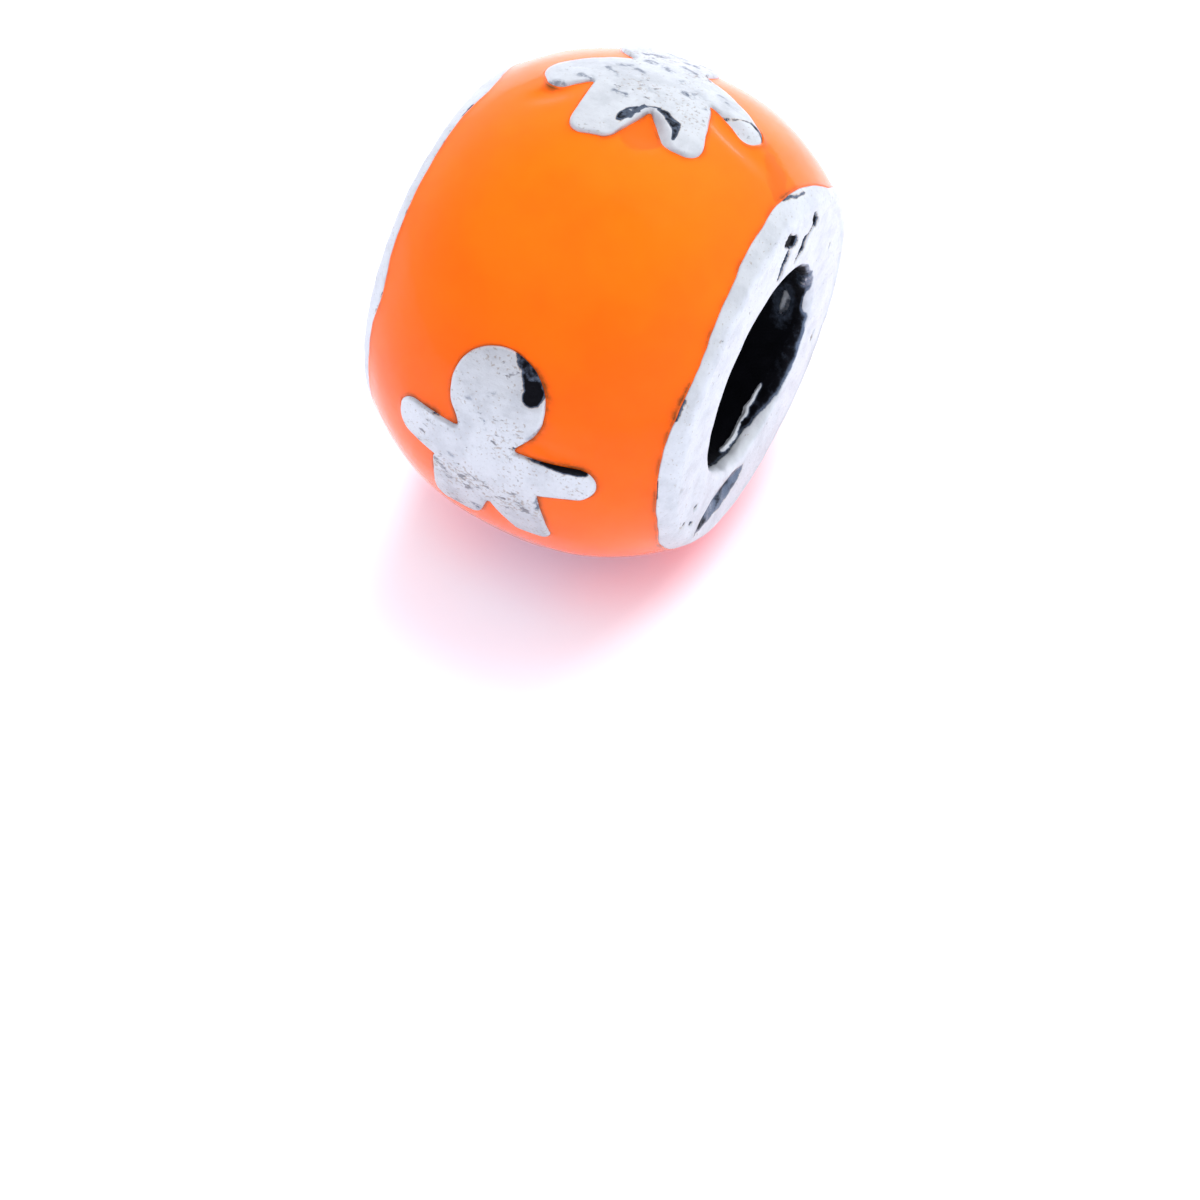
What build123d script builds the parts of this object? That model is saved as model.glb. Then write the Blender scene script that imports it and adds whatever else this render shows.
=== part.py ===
import os
from math import cos, radians, sin, tan

from build123d import *

# A european charm bead lying on its barrel: a cast silver body whose figures stand up through a band of enamel.
# The bore runs along X, Z is up, and the origin is the middle of the bore. Lengths are millimetres, angles degrees.

# The barrel
bead_diameter = 11.0
bead_length = 7.7
end_diameter = 8.1
crown_power = 2.5
rim_round = 0.32
bore_diameter = 4.75
bore_edge_round = 0.2

# The enamel band and the recess that holds it
rim_width = 0.36
recess_depth = 0.5
enamel_gap = 0.03

# A raised figure, measured on a plane that faces it
figure_proud = 0.09
head_diameter = 2.2
head_height = 1.49
neck_width = 1.36
neck_round = 0.06
shoulder_width = 0.6
arm_span = 4.6
arm_thickness = 1.06
hand_round = 0.44
waist_width = 2.4
armpit_round = 0.12
foot_spread = 2.86
foot_reach = 2.48
foot_round = 0.38
leg_gap = 0.84
crotch_height = 1.42
crotch_round = 0.1

# The figures in order round the barrel, heads first, and how each differs from the next. The bead rests at 180,
# between the feet of the third and the head of the fourth, so the bare strip there has to be a narrow one.
# Columns: angle from the top towards the front, place along the bore as a share of the bead's length, turn,
# share of the arm span, droop of the left and of the right arm.
FIGURES = [
    (-28.0, 0.004, 12.5, 1.11, 20.0, 27.0),
    (78.9, 0.015, 1.5, 1.0, 0.0, 0.0),
    (147.0, -0.005, -3.0, 1.11, 24.0, 24.0),
    (214.3, 0.0, 5.0, 1.0, 0.0, 0.0),
]

# The long shallow dent in one end, between the bore and the rim
dent_length = 2.3
dent_width = 0.9
dent_depth = 0.12
dent_angle = 139.0
dent_turn = 26.0

# Sizes that follow from those above
bead_radius = bead_diameter / 2
end_radius = end_diameter / 2
bore_radius = bore_diameter / 2
half_length = bead_length / 2
band_half = half_length - rim_width


def barrel_radius(x, raised=0.0):
    """Radius of the crowned barrel at a place along the bore, or of a skin raised above it."""
    return bead_radius - (bead_radius - end_radius) * abs(x / half_length) ** crown_power + raised


def crown_points(half, raised=0.0):
    """The crowned outline from one end to the other, as points for a spline."""
    shares = (-1.0, -0.75, -0.5, -0.25, 0.0, 0.25, 0.5, 0.75, 1.0)
    return [(share * half, barrel_radius(share * half, raised)) for share in shares]


def bored_section(half):
    """Half section of the whole bored barrel."""
    crown = crown_points(half)
    with BuildSketch(Plane.XZ) as section:
        with BuildLine():
            Spline(*crown)
            Polyline(crown[-1], (half, bore_radius), (-half, bore_radius), crown[0])
        make_face()
    return section.sketch


def band_section(half, bottom, top):
    """Half section of a band that follows the crown, between two skins given by how far each is raised."""
    outer = crown_points(half, top)
    inner = crown_points(half, bottom)
    with BuildSketch(Plane.XZ) as section:
        with BuildLine():
            Spline(*outer)
            Line(outer[-1], inner[-1])
            Spline(*inner)
            Line(inner[0], outer[0])
        make_face()
    return section.sketch


def swung(x, y, droop):
    """A corner of a right arm, swung down about the shoulder."""
    shoulder = Vector(shoulder_width / 2, 0)
    corner = (Vector(x, y) - shoulder).rotate(Axis.Z, -droop) + shoulder
    return corner.X, corner.Y


def arm_edge(x, side, droop):
    """Height of the upper (+1) or lower (-1) edge of a right arm, at x from the middle of the figure."""
    swing = radians(droop)
    return side * arm_thickness / 2 / cos(swing) - (x - shoulder_width / 2) * tan(swing)


def half_figure(arm_share, droop):
    """Corners of the right half of a figure below its head, and the rounding of each."""
    neck, waist, arm_top, reach = neck_width / 2, waist_width / 2, arm_thickness / 2, arm_share * arm_span / 2
    return [
        (neck, head_height, 0),
        (neck, arm_edge(neck, 1, droop), neck_round),
        (*swung(reach, arm_top, droop), hand_round),
        (*swung(reach, -arm_top, droop), hand_round),
        (waist, arm_edge(waist, -1, droop), armpit_round),
        (foot_spread / 2, -foot_reach, foot_round),
        (leg_gap / 2, -foot_reach, foot_round),
    ]


def figure_outline(arm_share, left_droop, right_droop, clearance=0.0):
    """A figure as a flat shape, its head along +Y, grown all round by a clearance."""
    left_half = [(-x, y, rounding) for x, y, rounding in reversed(half_figure(arm_share, left_droop))]
    corners = [*half_figure(arm_share, right_droop), (0, -crotch_height, crotch_round), *left_half]
    with BuildSketch() as figure:
        with BuildLine():
            FilletPolyline([(x, y) for x, y, _ in corners], radius=[rounding for _, _, rounding in corners], close=True)
        make_face()
        with Locations((0, head_height)):
            Circle(head_diameter / 2)
        if clearance:
            offset(amount=clearance)
    return figure.sketch


def figure_prisms(clearance=0.0):
    """All the figures drawn out from the axis of the bore to beyond the barrel."""
    with BuildPart() as prisms:
        for angle, along, turn, *arms in FIGURES:
            outwards = (0, -sin(radians(angle)), cos(radians(angle)))
            with BuildSketch(Plane(origin=(0, 0, 0), x_dir=(1, 0, 0), z_dir=outwards)):
                with Locations(Location((along * bead_length, 0, 0), (0, 0, turn))):
                    add(figure_outline(*arms, clearance))
            extrude(amount=bead_diameter)
    return prisms.part


def dent_form():
    """A spindle whose lowest part bites the dent out of the +X end."""
    half_width = dent_width / 2
    girth = (half_width**2 + dent_depth**2) / (2 * dent_depth)
    reach = dent_length / 2 * girth / half_width
    place = (bore_radius + end_radius) / 2
    with BuildPart() as spindle:
        with BuildSketch():
            Ellipse(reach, girth)
            split(bisect_by=Plane.XZ)
        revolve(axis=Axis.X)
    lie = Location((half_length + girth - dent_depth, 0, 0)) * Location(
        (0, -place * sin(radians(dent_angle)), place * cos(radians(dent_angle))),
        (dent_angle + dent_turn, 0, 0),
    )
    return spindle.part.moved(lie * Location((0, 0, 0), (0, 0, 90)))


# The raised figures, rooted in the core below the recess
with BuildPart() as figures:
    add(figure_prisms())
    revolve(band_section(band_half, -1.5 * recess_depth, figure_proud), axis=Axis.X, mode=Mode.INTERSECT)

# The cast body: bored barrel, rounded ends, recess, raised figures and dent in one
with BuildPart() as silver_body:
    revolve(bored_section(half_length), axis=Axis.X)
    mouths = [end.inner_wires()[0].edge() for end in silver_body.faces().filter_by(Axis.X)]
    fillet(mouths, bore_edge_round)
    rims = [end.outer_wire().edge() for end in silver_body.faces().filter_by(Axis.X)]
    fillet(rims, rim_round)
    revolve(band_section(band_half, -recess_depth, recess_depth), axis=Axis.X, mode=Mode.SUBTRACT)
    add(figures.part)
    add(dent_form(), mode=Mode.SUBTRACT)
silver_body.part.label = "silver_body"

# The enamel: a band that fills the recess flush with the barrel, with a window for each figure
with BuildPart() as enamel:
    revolve(band_section(band_half - enamel_gap, enamel_gap - recess_depth, 0.0), axis=Axis.X)
    add(figure_prisms(enamel_gap), mode=Mode.SUBTRACT)
enamel.part.label = "enamel"

os.makedirs("parts", exist_ok=True)
export_step(silver_body.part, "parts/silver_body.step")
export_step(enamel.part, "parts/enamel.step")
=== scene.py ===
from math import cos, hypot, pi, radians, sin

import bpy
import numpy as np
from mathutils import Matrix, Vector
from mathutils.geometry import delaunay_2d_cdt


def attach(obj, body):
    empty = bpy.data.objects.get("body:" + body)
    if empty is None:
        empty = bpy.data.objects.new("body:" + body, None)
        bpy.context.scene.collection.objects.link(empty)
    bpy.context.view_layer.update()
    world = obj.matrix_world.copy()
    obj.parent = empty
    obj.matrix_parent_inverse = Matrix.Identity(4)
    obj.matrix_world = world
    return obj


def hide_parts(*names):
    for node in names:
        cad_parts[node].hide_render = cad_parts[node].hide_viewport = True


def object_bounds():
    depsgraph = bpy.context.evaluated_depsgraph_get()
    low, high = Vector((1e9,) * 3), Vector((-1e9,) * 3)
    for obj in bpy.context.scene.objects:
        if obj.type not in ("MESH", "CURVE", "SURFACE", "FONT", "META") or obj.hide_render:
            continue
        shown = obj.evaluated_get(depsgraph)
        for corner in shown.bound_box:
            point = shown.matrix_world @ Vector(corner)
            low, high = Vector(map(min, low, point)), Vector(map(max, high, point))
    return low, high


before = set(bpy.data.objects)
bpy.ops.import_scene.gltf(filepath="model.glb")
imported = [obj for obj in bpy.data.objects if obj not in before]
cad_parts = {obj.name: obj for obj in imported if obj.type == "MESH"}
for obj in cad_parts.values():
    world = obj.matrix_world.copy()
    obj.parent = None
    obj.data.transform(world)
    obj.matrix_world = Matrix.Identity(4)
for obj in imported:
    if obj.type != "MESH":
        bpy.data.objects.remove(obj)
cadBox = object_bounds()
print("frame loaded")

# Lengths in the dictionaries are millimetres and angles are degrees. Round the barrel, an angle counts from the top
# towards the front. The bead is first drawn as a flat strip: x along the bore, s round the barrel from the top towards
# the back, and h above the barrel's skin. A node tree then rolls the strip up.
mm = 0.001

barrel = {
    "radius": 5.5, "endRadius": 4.05, "halfLength": 3.85, "crownPower": 2.5,
    "boreRadius": 2.375, "bandHalf": 3.49, "recess": 0.5,
    # points round the barrel and along the seam where the strip closes, and how near points are welded
    "columns": 440, "seamPoints": 48, "weld": 0.0006,
}

# what all figures share
figure = {
    "headRadius": 1.1, "trunk": (-0.3, 1.3), "shoulder": 0.3, "armRoot": -0.5, "armTaper": 0.3, "hip": 0.3,
    "handRound": 0.42, "soft": 0.11, "ragged": 0.007,  # soft rounds the corners between limbs
    "proud": 0.09, "sink": 0.03, "bevel": 0.075,  # the top above the skin, the foot of its edge below, its width
    "lumps": 0.004, "fineLumps": 0.002, "stainDepth": 0.014,
    "specks": (0.58, 0.22, 0.6, -0.6),
    # spacing of points on the outline and inside, rows of them beside the outline, and how close any two may be
    "step": 0.032, "finest": 0.046, "rows": (0.012, 0.03, 0.055, 0.085, 0.125, 0.175), "inside": 0.21, "closest": 0.011,
}

# each figure, with the middle of its head and the half widths of its neck. An arm has its reach, droop, half widths at
# shoulder and hand, and how high it starts. A leg has how far out it is at the waist and at the foot, the inside of the
# foot, how far down the sole is, and its rounding. Specks: how many, how many more towards one end, and from where on
figures = [
    {"angle": -28.0, "along": 0.031, "turn": 12.5, "head": (-0.20, 1.46), "neck": (0.80, 0.62), "crotch": 1.44,
     "arms": ((2.62, 24.0, 0.47, 0.56, 0.19), (2.63, 31.0, 0.48, 0.34, 0.40)),
     "legs": ((1.36, 1.56, 0.60, 2.42, 0.32), (1.12, 1.38, 0.54, 2.34, 0.36)), "specks": (0.35, 0.45, -0.3, 1.0)},
    {"angle": 78.9, "along": 0.116, "turn": 1.5, "head": (0.0, 1.51), "neck": (0.78, 0.56), "crotch": 1.38,
     "arms": ((2.36, -8.0, 0.68, 0.47, -0.20), (2.33, -4.0, 0.56, 0.41, -0.13)),
     "legs": ((1.40, 1.47, 0.34, 2.24, 0.30), (1.14, 1.36, 0.54, 2.20, 0.18))},
    {"angle": 147.0, "along": -0.039, "turn": -3.0, "head": (0.0, 1.49), "neck": (0.68, 0.68), "crotch": 1.42,
     "arms": ((2.55, 24.0, 0.53, 0.50, 0.0), (2.55, 24.0, 0.53, 0.50, 0.0)),
     "legs": ((1.20, 1.43, 0.42, 2.48, 0.34), (1.24, 1.45, 0.44, 2.48, 0.34))},
    {"angle": 214.3, "along": 0.0, "turn": 5.0, "head": (0.02, 1.49), "neck": (0.68, 0.68), "crotch": 1.44,
     "arms": ((2.30, 0.0, 0.53, 0.52, 0.0), (2.30, 1.0, 0.55, 0.50, 0.0)),
     "legs": ((1.22, 1.43, 0.42, 2.46, 0.34), (1.20, 1.42, 0.40, 2.50, 0.34))},
]


# small helpers
def newObject(name, data):
    made = bpy.data.objects.new(name, data)
    bpy.context.scene.collection.objects.link(made)
    return made


def pointAt(thing, place, target):  # puts a camera or lamp in its place and turns it to its target
    thing.location = Vector(place) * mm
    thing.rotation_mode = "QUATERNION"
    thing.rotation_quaternion = (Vector(target) - Vector(place)).to_track_quat("-Z", "Y")


def feed(tree, node, inputs):  # each input gets a link or a plain value
    for name, value in inputs.items():
        if isinstance(value, bpy.types.NodeSocket):
            tree.links.new(value, node.inputs[name])
        else:
            node.inputs[name].default_value = value


def put(tree, kind, inputs=None, **settings):
    node = tree.nodes.new(kind)
    for name, value in settings.items():
        setattr(node, name, value)
    feed(tree, node, inputs or {})
    return node


def calc(tree, how, *values):
    return put(tree, "ShaderNodeMath", dict(enumerate(values)), operation=how).outputs[0]


def plus(tree, value, *others):  # a value plus others, each times its share
    for other, share in others:
        value = calc(tree, "ADD", value, calc(tree, "MULTIPLY", other, share))
    return value


def barrelRadius(x):
    drop = barrel["radius"] - barrel["endRadius"]
    return barrel["radius"] - drop * np.abs(x / barrel["halfLength"]) ** barrel["crownPower"]


def atRadius(x, s, r):  # strip to space, in millimetres
    around = s / barrel["radius"]
    return np.stack([x, r * np.sin(around), r * np.cos(around)], -1)


def onBarrel(x, s):
    return atRadius(x, s, barrelRadius(x))


def onStrip(along, angle):  # a place on the barrel, given by its angle, to x and s
    return along, -radians(angle) * barrel["radius"]


def roundBarrel():  # s of even steps once round
    return np.linspace(-pi, pi, barrel["columns"] + 1) * barrel["radius"]


def turnFrom(angle, middle):  # degrees from a middle, between -180 and 180
    return (angle - middle + 180) % 360 - 180


def hump(away, spread):
    return np.exp(-((away / spread) ** 2))


def turned(x, y, degrees):  # the same place measured along turned axes
    c, d = cos(radians(degrees)), sin(radians(degrees))
    return x * c + y * d, y * c - x * d


def waves(points, size, seed, count=14):  # smooth lumps about this size, between about -2 and 2
    pick = np.random.default_rng(seed)
    ways = pick.normal(size=(count, 3))
    ways *= (2 * pi / size * pick.uniform(0.7, 1.4, (count, 1))) / np.linalg.norm(ways, axis=1, keepdims=True)
    return np.sin(points @ ways.T + pick.uniform(0, 2 * pi, count)).sum(-1) / np.sqrt(count / 2)


def ease(low, high, value):
    t = np.clip((value - low) / (high - low), 0, 1)
    return t * t * (3 - 2 * t)


def blend(a, b, soft):  # the nearer of two distances, with the corner between them filled
    h = np.maximum(soft - np.abs(a - b), 0) / soft
    return np.minimum(a, b) - h * h * soft / 4


def pathDistance(u, v, path):  # distance to an open line of points
    nearest = np.full(u.shape, 1e9)
    for (ax, ay), (bx, by) in zip(path, path[1:]):
        ex, ey, wx, wy = bx - ax, by - ay, u - ax, v - ay
        t = np.clip((wx * ex + wy * ey) / (ex * ex + ey * ey), 0, 1)
        nearest = np.minimum(nearest, np.hypot(wx - ex * t, wy - ey * t))
    return nearest


def polygonDistance(u, v, corners):  # negative inside
    closed, inside = corners + corners[:1], np.zeros(u.shape, bool)
    for (ax, ay), (bx, by) in zip(closed, closed[1:]):
        crosses = (ay > v) != (by > v)
        inside ^= crosses & (u - ax < (bx - ax) * (v - ay) / (by - ay or 1e-12))
    nearest = pathDistance(u, v, closed)
    return np.where(inside, -nearest, nearest)


def inset(corners, room):  # a convex polygon drawn in on every side
    lines = []
    for (ax, ay), (bx, by) in zip(corners, corners[1:] + corners[:1]):
        length = hypot(bx - ax, by - ay)
        nx, ny = (by - ay) / length, -(bx - ax) / length
        lines.append((nx, ny, nx * ax + ny * ay + room))
    new = []
    for (a, b, c), (d, e, f) in zip(lines[-1:] + lines[:-1], lines):
        det = a * e - b * d
        new.append(((c * e - b * f) / det, (a * f - c * d) / det))
    return new


# camera, with its lens and sensor in millimetres and its clipping in metres
shot = {
    "place": (19.082, -35.198, 53.143), "aim": (1.906, -3.814, -5.55), "lens": 90.05, "sensor": 36, "clip": (0.001, 5),
}

camera = newObject("shotCamera", bpy.data.cameras.new("shotCamera"))
camera.data.lens, camera.data.sensor_width = shot["lens"], shot["sensor"]
camera.data.clip_start, camera.data.clip_end = shot["clip"]
pointAt(camera, shot["place"], shot["aim"])
bpy.context.scene.camera = camera


# the figures as flat shapes
def figurePlane(x, s, which):  # strip to the plane that faces a figure, its head along +v
    one, around = figures[which], s / barrel["radius"] + radians(figures[which]["angle"])
    u, v = turned(x - one["along"], barrelRadius(x) * np.sin(around), one["turn"])
    return u, v, np.cos(around) > 0


def figureDistance(x, s, which):  # distance to a figure's outline, negative inside and 9 on the barrel's other side
    u, v, facing = figurePlane(x, s, which)
    one, f = figures[which], figure
    rough = np.stack([u, v, np.full(u.shape, 3.0 * which)], -1)
    u = u + f["ragged"] * (waves(rough, 1.3, 11) + 0.4 * waves(rough, 0.4, 12))
    v = v + f["ragged"] * (waves(rough, 1.3, 13) + 0.4 * waves(rough, 0.4, 14))
    head = np.hypot(u - one["head"][0], v - one["head"][1]) - f["headRadius"]
    (left, right), (low, high) = one["neck"], f["trunk"]
    body = polygonDistance(u, v, [(-left, low), (right, low), (right, high), (-left, high)])
    for side, (reach, droop, root, tip, lift), (waist, foot, gap, sole, bow) in zip((-1, 1), one["arms"], one["legs"]):
        c, d = cos(radians(droop)), sin(radians(droop))
        du, dv = side * u - f["shoulder"], v - lift
        along, across = du * c - dv * d, du * d + dv * c
        reach, start, taper = reach - f["shoulder"], f["armRoot"], f["armTaper"]
        half = root + (tip - root) * np.clip((along - taper) / (reach - taper), 0, 1)
        bend = min(f["handRound"], tip * 0.95)
        qx = np.abs(along - (reach + start) / 2) - (reach - start) / 2 + bend
        qy = np.abs(across) - half + bend
        arm = np.hypot(np.maximum(qx, 0), np.maximum(qy, 0)) + np.minimum(np.maximum(qx, qy), 0) - bend
        under = lift - root / c - (waist - f["shoulder"]) * d / c
        leg = [(0.0, f["hip"]), (0.0, -one["crotch"]), (gap, -sole), (foot, -sole), (waist, under)]
        legs = polygonDistance(side * u, v, inset(leg, -bow)) - bow
        body = blend(blend(body, arm, f["soft"]), legs, f["soft"])
    return np.where(facing, blend(head, body, f["soft"] * 1.6), 9.0)


def figuresDistance(x, s):
    return np.min([figureDistance(x, s, k) for k in range(len(figures))], axis=0)


def slope(distance, points, by=1e-3):
    x, s = points[:, 0], points[:, 1]
    dx = (distance(x + by, s) - distance(x - by, s)) / (2 * by)
    ds = (distance(x, s + by) - distance(x, s - by)) / (2 * by)
    return np.stack([dx, ds], 1)


def toLevel(distance, points, level, times=4):
    for _ in range(times):
        g = slope(distance, points)
        miss = distance(points[:, 0], points[:, 1]) - level
        points = points - np.clip(miss / np.maximum((g * g).sum(1), 0.2), -0.1, 0.1)[:, None] * g
    return points


def outlineOf(distance, low, high, gap):  # follows the zero line of a distance from cell to cell of a grid
    x, y = np.meshgrid(np.arange(low[0], high[0], gap), np.arange(low[1], high[1], gap))
    away = distance(x.ravel(), y.ravel()).reshape(x.shape)
    out = away > 0
    mixedCells = (out[:-1, :-1] != out[1:, 1:]) | (out[1:, :-1] != out[:-1, 1:]) | (out[:-1, :-1] != out[1:, :-1])
    links = {}
    for i, j in zip(*(k.tolist() for k in np.nonzero(mixedCells))):
        corners = [(i, j), (i, j + 1), (i + 1, j + 1), (i + 1, j)]
        sides = [tuple(sorted(side)) for side in zip(corners, corners[1:] + corners[:1])]
        crossed = [side for side in sides if out[side[0]] != out[side[1]]]
        for one, other in zip(crossed[::2], crossed[1::2]):
            links.setdefault(one, []).append(other)
            links.setdefault(other, []).append(one)
    start = next(iter(links))
    walk = [start, links[start][0]]
    while walk[-1] != start:
        walk += [side for side in links[walk[-1]] if side != walk[-2]][:1]
    line = []
    for p, q in walk[:-1]:
        t = away[p] / (away[p] - away[q])
        line.append((x[p] + (x[q] - x[p]) * t, y[p] + (y[q] - y[p]) * t))
    line = np.array(line)
    ahead = np.roll(line, -1, axis=0)
    clockwise = (line[:, 0] * ahead[:, 1] - ahead[:, 0] * line[:, 1]).sum() < 0
    return line[::-1] if clockwise else line


def evened(line, step):  # a closed line with even steps
    closed = np.vstack([line, line[:1]])
    run = np.concatenate([[0], np.cumsum(np.hypot(*np.diff(closed, axis=0).T))])
    at = np.linspace(0, run[-1], int(round(run[-1] / step)) + 1)[:-1]
    return np.stack([np.interp(at, run, closed[:, 0]), np.interp(at, run, closed[:, 1])], 1)


def ringsBeside(distance, line, level, offsets, step):  # rows of points beside an outline, thinned where they crowd
    rows, g = [], slope(distance, line)
    g /= np.hypot(*g.T)[:, None]
    for offset in offsets:
        row = toLevel(distance, line + g * offset, level + offset)
        miss = np.abs(distance(row[:, 0], row[:, 1]) - level - offset)
        gap = min(step, abs(offset) * 1.2)
        kept = []
        for p, m in zip(row, miss):
            if m < gap * 0.3 and (not kept or hypot(*(p - kept[-1])) > gap * 0.6):
                kept.append(p)
        rows.append(np.array(kept))
    return np.vstack(rows)


def thinned(points, gap):  # leaves out points that lie too close to an earlier one
    cells, kept = {}, []
    for i, (x, y) in enumerate(points.tolist()):
        cx, cy = int(x // gap), int(y // gap)
        near = (cells.get((cx + a, cy + b), ()) for a in (-1, 0, 1) for b in (-1, 0, 1))
        if all(hypot(x - p, y - q) >= gap for cell in near for p, q in cell):
            cells.setdefault((cx, cy), []).append((x, y))
            kept.append(i)
    return points[kept]


def latticed(low, high, gap):  # a triangular lattice of points in a rectangle
    xs, ys = np.arange(low[0], high[0], gap), np.arange(low[1], high[1], gap * 0.866)
    x, y = np.meshgrid(xs, ys)
    x = x + (np.arange(len(ys)) % 2)[:, None] * gap / 2
    return np.stack([x.ravel(), y.ravel()], 1)


def fillFlat(loops, loose):  # triangles inside the first loop and outside the others
    corners = np.vstack(loops + [loose])
    edges, faces, start = [], [], 0
    for loop in loops:
        ids = list(range(start, start + len(loop)))
        edges += list(zip(ids, ids[1:] + ids[:1]))
        faces.append(ids)
        start += len(loop)
    made = delaunay_2d_cdt([Vector(p) for p in corners.tolist()], edges, faces, 0, 1e-7, True)
    flat = np.array([tuple(p) for p in made[0]])
    tris = [f for f, held in zip(made[2], made[5]) if held == [0]]
    return flat, tris


beside, above, cell = 3.1, 3.3, 0.04  # where round a figure's middle its outline is looked for, and how finely
figureLines = []
for which, one in enumerate(figures):
    def near(x, s, which=which):
        return figureDistance(x, s, which)
    along, middle = onStrip(one["along"], turnFrom(one["angle"], 0))
    line = outlineOf(near, (along - beside, middle - beside), (along + beside, middle + above), cell)
    figureLines.append((near, toLevel(near, evened(line, figure["step"]), 0.0)))
print("figure outlines traced:", [len(line) for _, line in figureLines])


border = {  # bumps of the enamel band's borders: angle, how far outwards, spread in degrees
    "right": [(-10, -0.1, 16), (-48, 0.18, 12), (40, 0.1, 16), (63, -0.04, 8), (96, 0.04, 12), (150, -0.06, 14),
              (230, 0.05, 16)],
    "left": [(55, -0.11, 8), (33, 0.04, 9), (-12, -0.2, 12), (120, 0.05, 12), (200, -0.07, 15), (270, 0.05, 12)],
    "waviness": 0.007,
}


def borderAt(s, side):  # x of the border, positive on both sides
    angle = -np.degrees(s / barrel["radius"])
    x = np.full(np.shape(s), barrel["bandHalf"], float)
    for place, out, spread in border["right" if side > 0 else "left"]:
        x = x + out * hump(turnFrom(angle, place), spread)
    rim = onBarrel(np.full(np.shape(s), side * barrel["bandHalf"]), s)
    return x + border["waviness"] * (waves(rim, 1.3, 21) + 0.5 * waves(rim, 0.5, 22))


def bandLoop(past):  # the whole band, and a little past it, as one closed line with both seam lines alike
    s = roundBarrel()
    right, left = borderAt(s, 1) + past, -borderAt(s, -1) - past
    seam = np.linspace(left[0], right[0], barrel["seamPoints"] + 2)[1:-1]
    low = np.stack([seam, np.full_like(seam, s[0])], 1)
    high = np.stack([seam[::-1], np.full_like(seam, s[-1])], 1)
    return np.vstack([low, np.stack([right, s], 1), high, np.stack([left, s], 1)[::-1]])


# rolling the strip up
rollSizes = {
    "Middle radius": barrel["radius"] * mm, "End radius": barrel["endRadius"] * mm,
    "Half length": barrel["halfLength"] * mm, "Crown power": barrel["crownPower"], "Weld": barrel["weld"] * mm,
}


def rollTree():
    tree = bpy.data.node_groups.new("rollUp", "GeometryNodeTree")
    sockets = [("Geometry", "OUTPUT", "Geometry"), ("Geometry", "INPUT", "Geometry"), ("Finish", "INPUT", "Material")]
    for name, way, kind in sockets + [(size, "INPUT", "Float") for size in rollSizes]:
        tree.interface.new_socket(name, in_out=way, socket_type="NodeSocket" + kind)
    given = put(tree, "NodeGroupInput").outputs
    at = put(tree, "ShaderNodeSeparateXYZ", {0: put(tree, "GeometryNodeInputPosition").outputs[0]}).outputs
    share = calc(tree, "DIVIDE", calc(tree, "ABSOLUTE", at[0]), given["Half length"])
    drop = calc(tree, "SUBTRACT", given["Middle radius"], given["End radius"])
    fall = calc(tree, "MULTIPLY", drop, calc(tree, "POWER", share, given["Crown power"]))
    reach = calc(tree, "ADD", calc(tree, "SUBTRACT", given["Middle radius"], fall), at[2])
    around = calc(tree, "DIVIDE", at[1], given["Middle radius"])
    y, z = (calc(tree, "MULTIPLY", reach, calc(tree, how, around)) for how in ("SINE", "COSINE"))
    place = put(tree, "ShaderNodeCombineXYZ", {0: at[0], 1: y, 2: z}).outputs[0]
    shape = given["Geometry"]
    for kind, more in (
        ("SetPosition", {"Position": place}), ("MergeByDistance", {"Distance": given["Weld"]}),
        ("SetShadeSmooth", {"Shade Smooth": True}), ("RealizeInstances", {}),
        ("SetMaterial", {"Material": given["Finish"]}),
    ):
        shape = put(tree, "GeometryNode" + kind, {"Geometry": shape, **more}).outputs[0]
    put(tree, "NodeGroupOutput", {"Geometry": shape})
    return tree


roller = rollTree()


def rolledPiece(name, finish, marks, patches):
    # each patch has its points on the strip, its faces, the height of its points and a value for each of the marks
    rows, faces = [], []
    for flat, made, *values in patches:
        first = sum(len(row) for row in rows)
        rows.append(np.column_stack([flat, *(value + 0 * flat[:, 0] for value in values)]))
        faces += [tuple(i + first for i in face) for face in made]
    table = np.vstack(rows)
    flatMesh = bpy.data.meshes.new(name + "Flat")
    flatMesh.from_pydata((table[:, :3] * mm).tolist(), [], faces)
    for mark, values in zip(marks, table[:, 3:].T):
        flatMesh.attributes.new(mark, "FLOAT", "POINT").data.foreach_set("value", values.astype(np.float32))
    strip = newObject(name + "Flat", flatMesh)
    roll = strip.modifiers.new("rollUp", "NODES")
    roll.node_group = roller
    given = {**rollSizes, "Finish": finish}
    for item in roller.interface.items_tree:
        if item.name in given:
            roll[item.identifier] = given[item.name]
    evaluated = strip.evaluated_get(bpy.context.evaluated_depsgraph_get())
    mesh = bpy.data.meshes.new_from_object(evaluated)
    mesh.name = name
    bpy.data.objects.remove(strip)
    piece = newObject(name, mesh)
    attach(piece, "root")
    print(name, "has", len(mesh.vertices), "points and", sum(len(p.vertices) - 2 for p in mesh.polygons), "triangles")
    return piece


def grid(rows, columns):  # faces of a sheet of rows by columns of points
    faces = []
    for a in range(0, (rows - 1) * columns, columns):
        faces += [(a + j, a + columns + j, a + columns + j + 1, a + j + 1) for j in range(columns - 1)]
    return faces


# finishes
def painted(tree, mark):  # a value stored at the points of the mesh
    return put(tree, "ShaderNodeAttribute", attribute_name=mark).outputs["Fac"]


def grain(tree, where, scale, detail, rough, warp=0.0, stretch=(1, 1, 1), turn=(0, 0, 0)):
    given = {"Vector": where, "Scale": [k / mm for k in stretch], "Rotation": turn}
    place = put(tree, "ShaderNodeMapping", given).outputs[0]
    given = {"Vector": place, "Scale": scale, "Detail": detail, "Roughness": rough, "Distortion": warp}
    return put(tree, "ShaderNodeTexNoise", given).outputs[0]


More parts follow.
